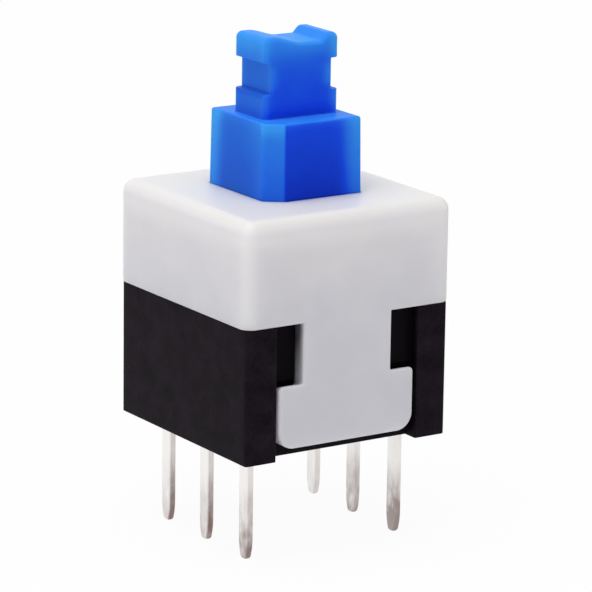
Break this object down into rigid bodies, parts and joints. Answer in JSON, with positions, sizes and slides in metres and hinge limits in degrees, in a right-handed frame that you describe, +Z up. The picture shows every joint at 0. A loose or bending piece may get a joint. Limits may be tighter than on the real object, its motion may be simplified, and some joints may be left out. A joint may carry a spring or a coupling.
{
  "type": "self-locking push switch",
  "caption": "Small square latching push switch for a circuit board, with a black base, a white clip-over cover, a blue plunger with a stem for a push-on cap, and blade pins.",
  "frame": {"origin": "centre of the base's underside, where the switch sits on the board", "axes": "+Z up along the plunger, X across the two rows of pins, Y from one snap tongue to the other"},
  "size_m": [0.0082, 0.0082, 0.0173],
  "materials": {
    "black_plastic": "satin moulded black plastic with a fine grain",
    "white_plastic": "smooth satin white plastic",
    "blue_plastic": "smooth blue plastic, slightly translucent at its edges",
    "tinned_brass": "bright tin plating",
    "contact_bronze": "bare rolled strip",
    "spring_steel": "drawn wire"
  },
  "bodies": {
    "housing": {"base": "black_plastic", "cover": "white_plastic", "return_spring": "spring_steel", "terminal_left_common": "tinned_brass", "terminal_left_closed": "tinned_brass", "terminal_left_open": "tinned_brass", "terminal_right_common": "tinned_brass", "terminal_right_closed": "tinned_brass", "terminal_right_open": "tinned_brass"},
    "plunger": {"plunger": "blue_plastic", "contact_left": "contact_bronze", "contact_right": "contact_bronze"},
    "latch": {"lock_pin": "spring_steel"}
  },
  "joints": [
    {"name": "plunger_slide", "type": "slide", "parent": "housing", "child": "plunger", "axis": [0, 0, -1], "range_m": [0, 0.0025], "stiffness_N_per_m": 600, "deforming": ["return_spring"]},
    {"name": "lock_pin_swing", "type": "hinge", "parent": "housing", "child": "latch", "pos_m": [0, 0.00316, 0.0013], "axis": [0, 1, 0], "range_deg": [0, 6]}
  ],
  "couplings": [
    {"joint": "lock_pin_swing", "follows": "plunger_slide", "rad_per_m": 41.454}
  ]
}
